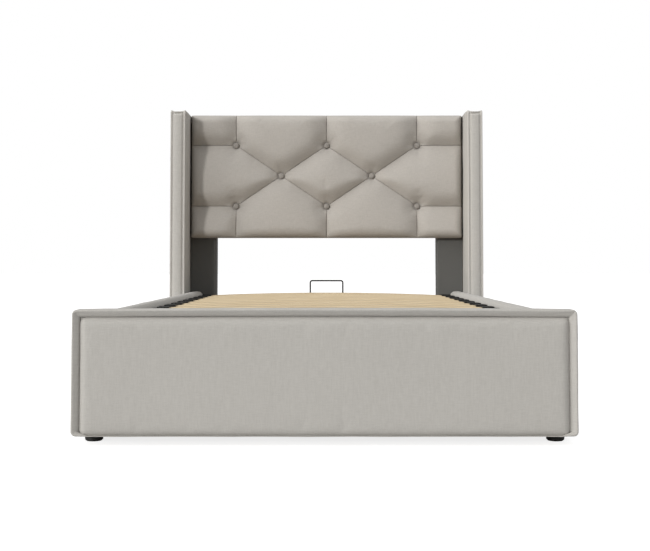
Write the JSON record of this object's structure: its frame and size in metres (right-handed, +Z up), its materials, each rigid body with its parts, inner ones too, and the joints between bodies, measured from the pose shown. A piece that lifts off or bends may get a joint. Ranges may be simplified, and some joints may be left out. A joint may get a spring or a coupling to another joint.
{
  "type": "upholstered storage bed",
  "caption": "Wingback single bed with a tufted headboard, padded rails and a slatted platform that lifts at the foot on gas struts over a storage box.",
  "frame": {"origin": "on the floor, under the middle of the bed", "axes": "+Z up, +Y towards the headboard, +X to the right seen from the foot end"},
  "size_m": [1.2084, 2.095, 0.9822],
  "materials": {
    "linen_upholstery": "light warm grey linen-look weave",
    "tufted_upholstery": "light warm grey linen-look weave, tufted",
    "button_cloth": "covered buttons in the same weave",
    "welt_cloth": "piping in the same weave",
    "back_lining": "dark non-woven lining",
    "dark_post_paint": "dark grey painted board",
    "cap_plastic": "black moulded plastic",
    "slat_wood": "light bent plywood",
    "board_wood": "plain plywood",
    "foot_plastic": "black moulded plastic",
    "pad_rubber": "black rubber",
    "zinc_steel": "zinc-plated steel",
    "black_steel": "black powder coat",
    "strut_paint": "black gloss paint",
    "rod_chrome": "polished rod"
  },
  "bodies": {
    "root": {"bed_feet": "foot_plastic", "bracket_bolts": "zinc_steel", "corner_brackets": "zinc_steel", "floor_batten_left": "board_wood", "floor_batten_right": "board_wood", "floor_cross_bar": "black_steel", "foot_ledge": "board_wood", "footboard_core": "board_wood", "footboard_cover": "linen_upholstery", "footboard_pad": "linen_upholstery", "head_end_board": "board_wood", "headboard_lining": "back_lining", "headboard_lower_rail": "board_wood", "headboard_panel_board": "board_wood", "headboard_post_left": "dark_post_paint", "headboard_post_right": "dark_post_paint", "headboard_top_rail": "board_wood", "headboard_tufted_pad": "tufted_upholstery", "lift_bracket_left": "zinc_steel", "lift_bracket_right": "zinc_steel", "lift_pivot_bolts": "zinc_steel", "rest_pads": "pad_rubber", "side_rail_core_left": "board_wood", "side_rail_core_right": "board_wood", "side_rail_cover_left": "linen_upholstery", "side_rail_cover_right": "linen_upholstery", "storage_floor_foot": "board_wood", "storage_floor_head": "board_wood", "tuft_buttons": "button_cloth", "wing_core_left": "board_wood", "wing_core_right": "board_wood", "wing_cover_left": "linen_upholstery", "wing_cover_right": "linen_upholstery", "wing_welts": "welt_cloth"},
    "lift_platform": {"mattress_stop": "black_steel", "platform_foot_tube": "black_steel", "platform_head_tube": "black_steel", "platform_middle_tube": "black_steel", "platform_side_tube_left": "black_steel", "platform_side_tube_right": "black_steel", "slat_01": "slat_wood", "slat_02": "slat_wood", "slat_03": "slat_wood", "slat_04": "slat_wood", "slat_05": "slat_wood", "slat_06": "slat_wood", "slat_07": "slat_wood", "slat_08": "slat_wood", "slat_09": "slat_wood", "slat_10": "slat_wood", "slat_11": "slat_wood", "slat_12": "slat_wood", "slat_13": "slat_wood", "slat_14": "slat_wood", "slat_caps_left": "cap_plastic", "slat_caps_right": "cap_plastic"},
    "strut_cylinder_left": {"strut_cylinder_left": "strut_paint"},
    "strut_cylinder_right": {"strut_cylinder_right": "strut_paint"},
    "strut_rod_left": {"strut_rod_left": "rod_chrome"},
    "strut_rod_right": {"strut_rod_right": "rod_chrome"}
  },
  "joints": [
    {"name": "lift_hinge", "type": "hinge", "parent": "root", "child": "lift_platform", "pos_m": [0, 0.8781, 0.205], "axis": [-1, 0, 0], "range_deg": [0, 36]},
    {"name": "strut_pivot_left", "type": "hinge", "parent": "root", "child": "strut_cylinder_left", "pos_m": [-0.4776, 0.8281, 0.095], "axis": [-1, 0, 0], "range_deg": [0, 34.82]},
    {"name": "strut_slide_left", "type": "slide", "parent": "strut_cylinder_left", "child": "strut_rod_left", "axis": [0, -0.97, 0.2433], "range_m": [0, 0.07423]},
    {"name": "strut_pivot_right", "type": "hinge", "parent": "root", "child": "strut_cylinder_right", "pos_m": [0.4776, 0.8281, 0.095], "axis": [-1, 0, 0], "range_deg": [0, 34.82]},
    {"name": "strut_slide_right", "type": "slide", "parent": "strut_cylinder_right", "child": "strut_rod_right", "axis": [0, -0.97, 0.2433], "range_m": [0, 0.07423]}
  ],
  "couplings": [
    {"joint": "strut_pivot_left", "follows": "lift_hinge", "ratio": 0.967},
    {"joint": "strut_slide_left", "follows": "lift_hinge", "m_per_rad": 0.11798},
    {"joint": "strut_pivot_right", "follows": "lift_hinge", "ratio": 0.967},
    {"joint": "strut_slide_right", "follows": "lift_hinge", "m_per_rad": 0.11798}
  ]
}
